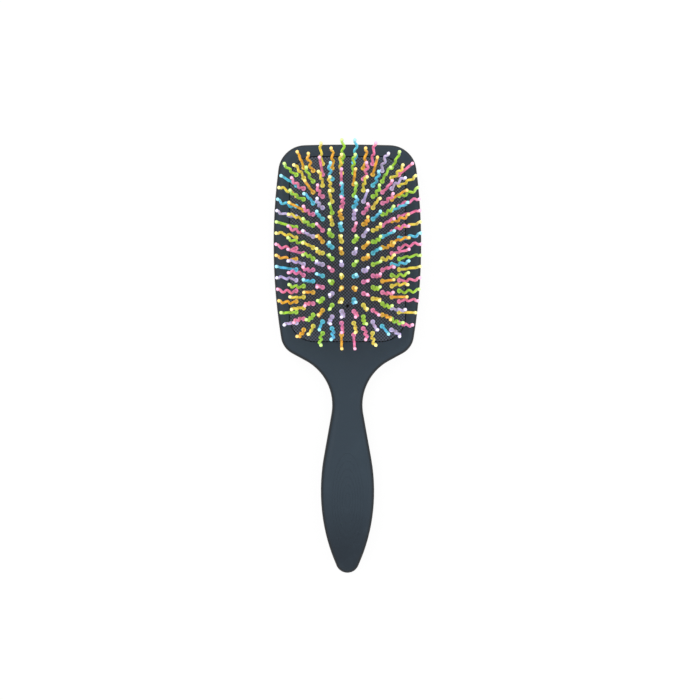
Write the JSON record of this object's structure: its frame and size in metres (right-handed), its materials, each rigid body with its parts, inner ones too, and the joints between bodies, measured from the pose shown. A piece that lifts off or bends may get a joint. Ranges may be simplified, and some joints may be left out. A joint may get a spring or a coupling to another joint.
{
  "type": "paddle hair brush",
  "caption": "Air-cushion paddle hair brush with a hollow two-shell body, a domed rubber cushion and wavy ball-tipped pins in mixed colours.",
  "frame": {"origin": "on the flat back, under the middle of the brush's outline", "axes": "+Y along the brush towards the head's end, +Z the way the pins point, +X across the head"},
  "size_m": [0.0862, 0.25, 0.0448],
  "materials": {
    "body_plastic": "soft-touch moulded plastic with a fine grain",
    "cushion_rubber": "moulded rubber with a fine woven texture",
    "retainer_plastic": "plain moulded plastic, hidden inside",
    "pin_green": "glossy flexible nylon",
    "pin_yellow": "glossy flexible nylon",
    "pin_orange": "glossy flexible nylon",
    "pin_pink": "glossy flexible nylon",
    "pin_blue": "glossy flexible nylon",
    "pin_lavender": "glossy flexible nylon"
  },
  "bodies": {
    "body": {"front_shell": "body_plastic", "back_shell": "body_plastic", "cushion_retainer": "retainer_plastic", "cushion": "cushion_rubber"},
    "pins_crown": {"pins_blue_crown": "pin_blue", "pins_green_crown": "pin_green", "pins_lavender_crown": "pin_lavender", "pins_orange_crown": "pin_orange", "pins_pink_crown": "pin_pink", "pins_yellow_crown": "pin_yellow"},
    "pins_inner": {"pins_blue_inner": "pin_blue", "pins_green_inner": "pin_green", "pins_lavender_inner": "pin_lavender", "pins_orange_inner": "pin_orange", "pins_pink_inner": "pin_pink", "pins_yellow_inner": "pin_yellow"},
    "pins_outer": {"pins_blue_outer": "pin_blue", "pins_green_outer": "pin_green", "pins_lavender_outer": "pin_lavender", "pins_orange_outer": "pin_orange", "pins_pink_outer": "pin_pink", "pins_yellow_outer": "pin_yellow"},
    "pins_edge": {"pins_blue_edge": "pin_blue", "pins_green_edge": "pin_green", "pins_lavender_edge": "pin_lavender", "pins_orange_edge": "pin_orange", "pins_pink_edge": "pin_pink", "pins_yellow_edge": "pin_yellow"}
  },
  "joints": [
    {"name": "crown_press", "type": "slide", "parent": "body", "child": "pins_crown", "axis": [0, 0, 1], "range_m": [-0.00328, 0], "stiffness_N_per_m": 1000, "deforming": ["cushion"]},
    {"name": "inner_press", "type": "slide", "parent": "body", "child": "pins_inner", "axis": [0, 0, 1], "range_m": [-0.00281, 0], "stiffness_N_per_m": 1000},
    {"name": "outer_press", "type": "slide", "parent": "body", "child": "pins_outer", "axis": [0, 0, 1], "range_m": [-0.00208, 0], "stiffness_N_per_m": 1000},
    {"name": "edge_press", "type": "slide", "parent": "body", "child": "pins_edge", "axis": [0, 0, 1], "range_m": [-0.00116, 0], "stiffness_N_per_m": 1000}
  ],
  "couplings": [
    {"joint": "inner_press", "follows": "crown_press", "ratio": 0.844},
    {"joint": "outer_press", "follows": "crown_press", "ratio": 0.619},
    {"joint": "edge_press", "follows": "crown_press", "ratio": 0.339}
  ]
}
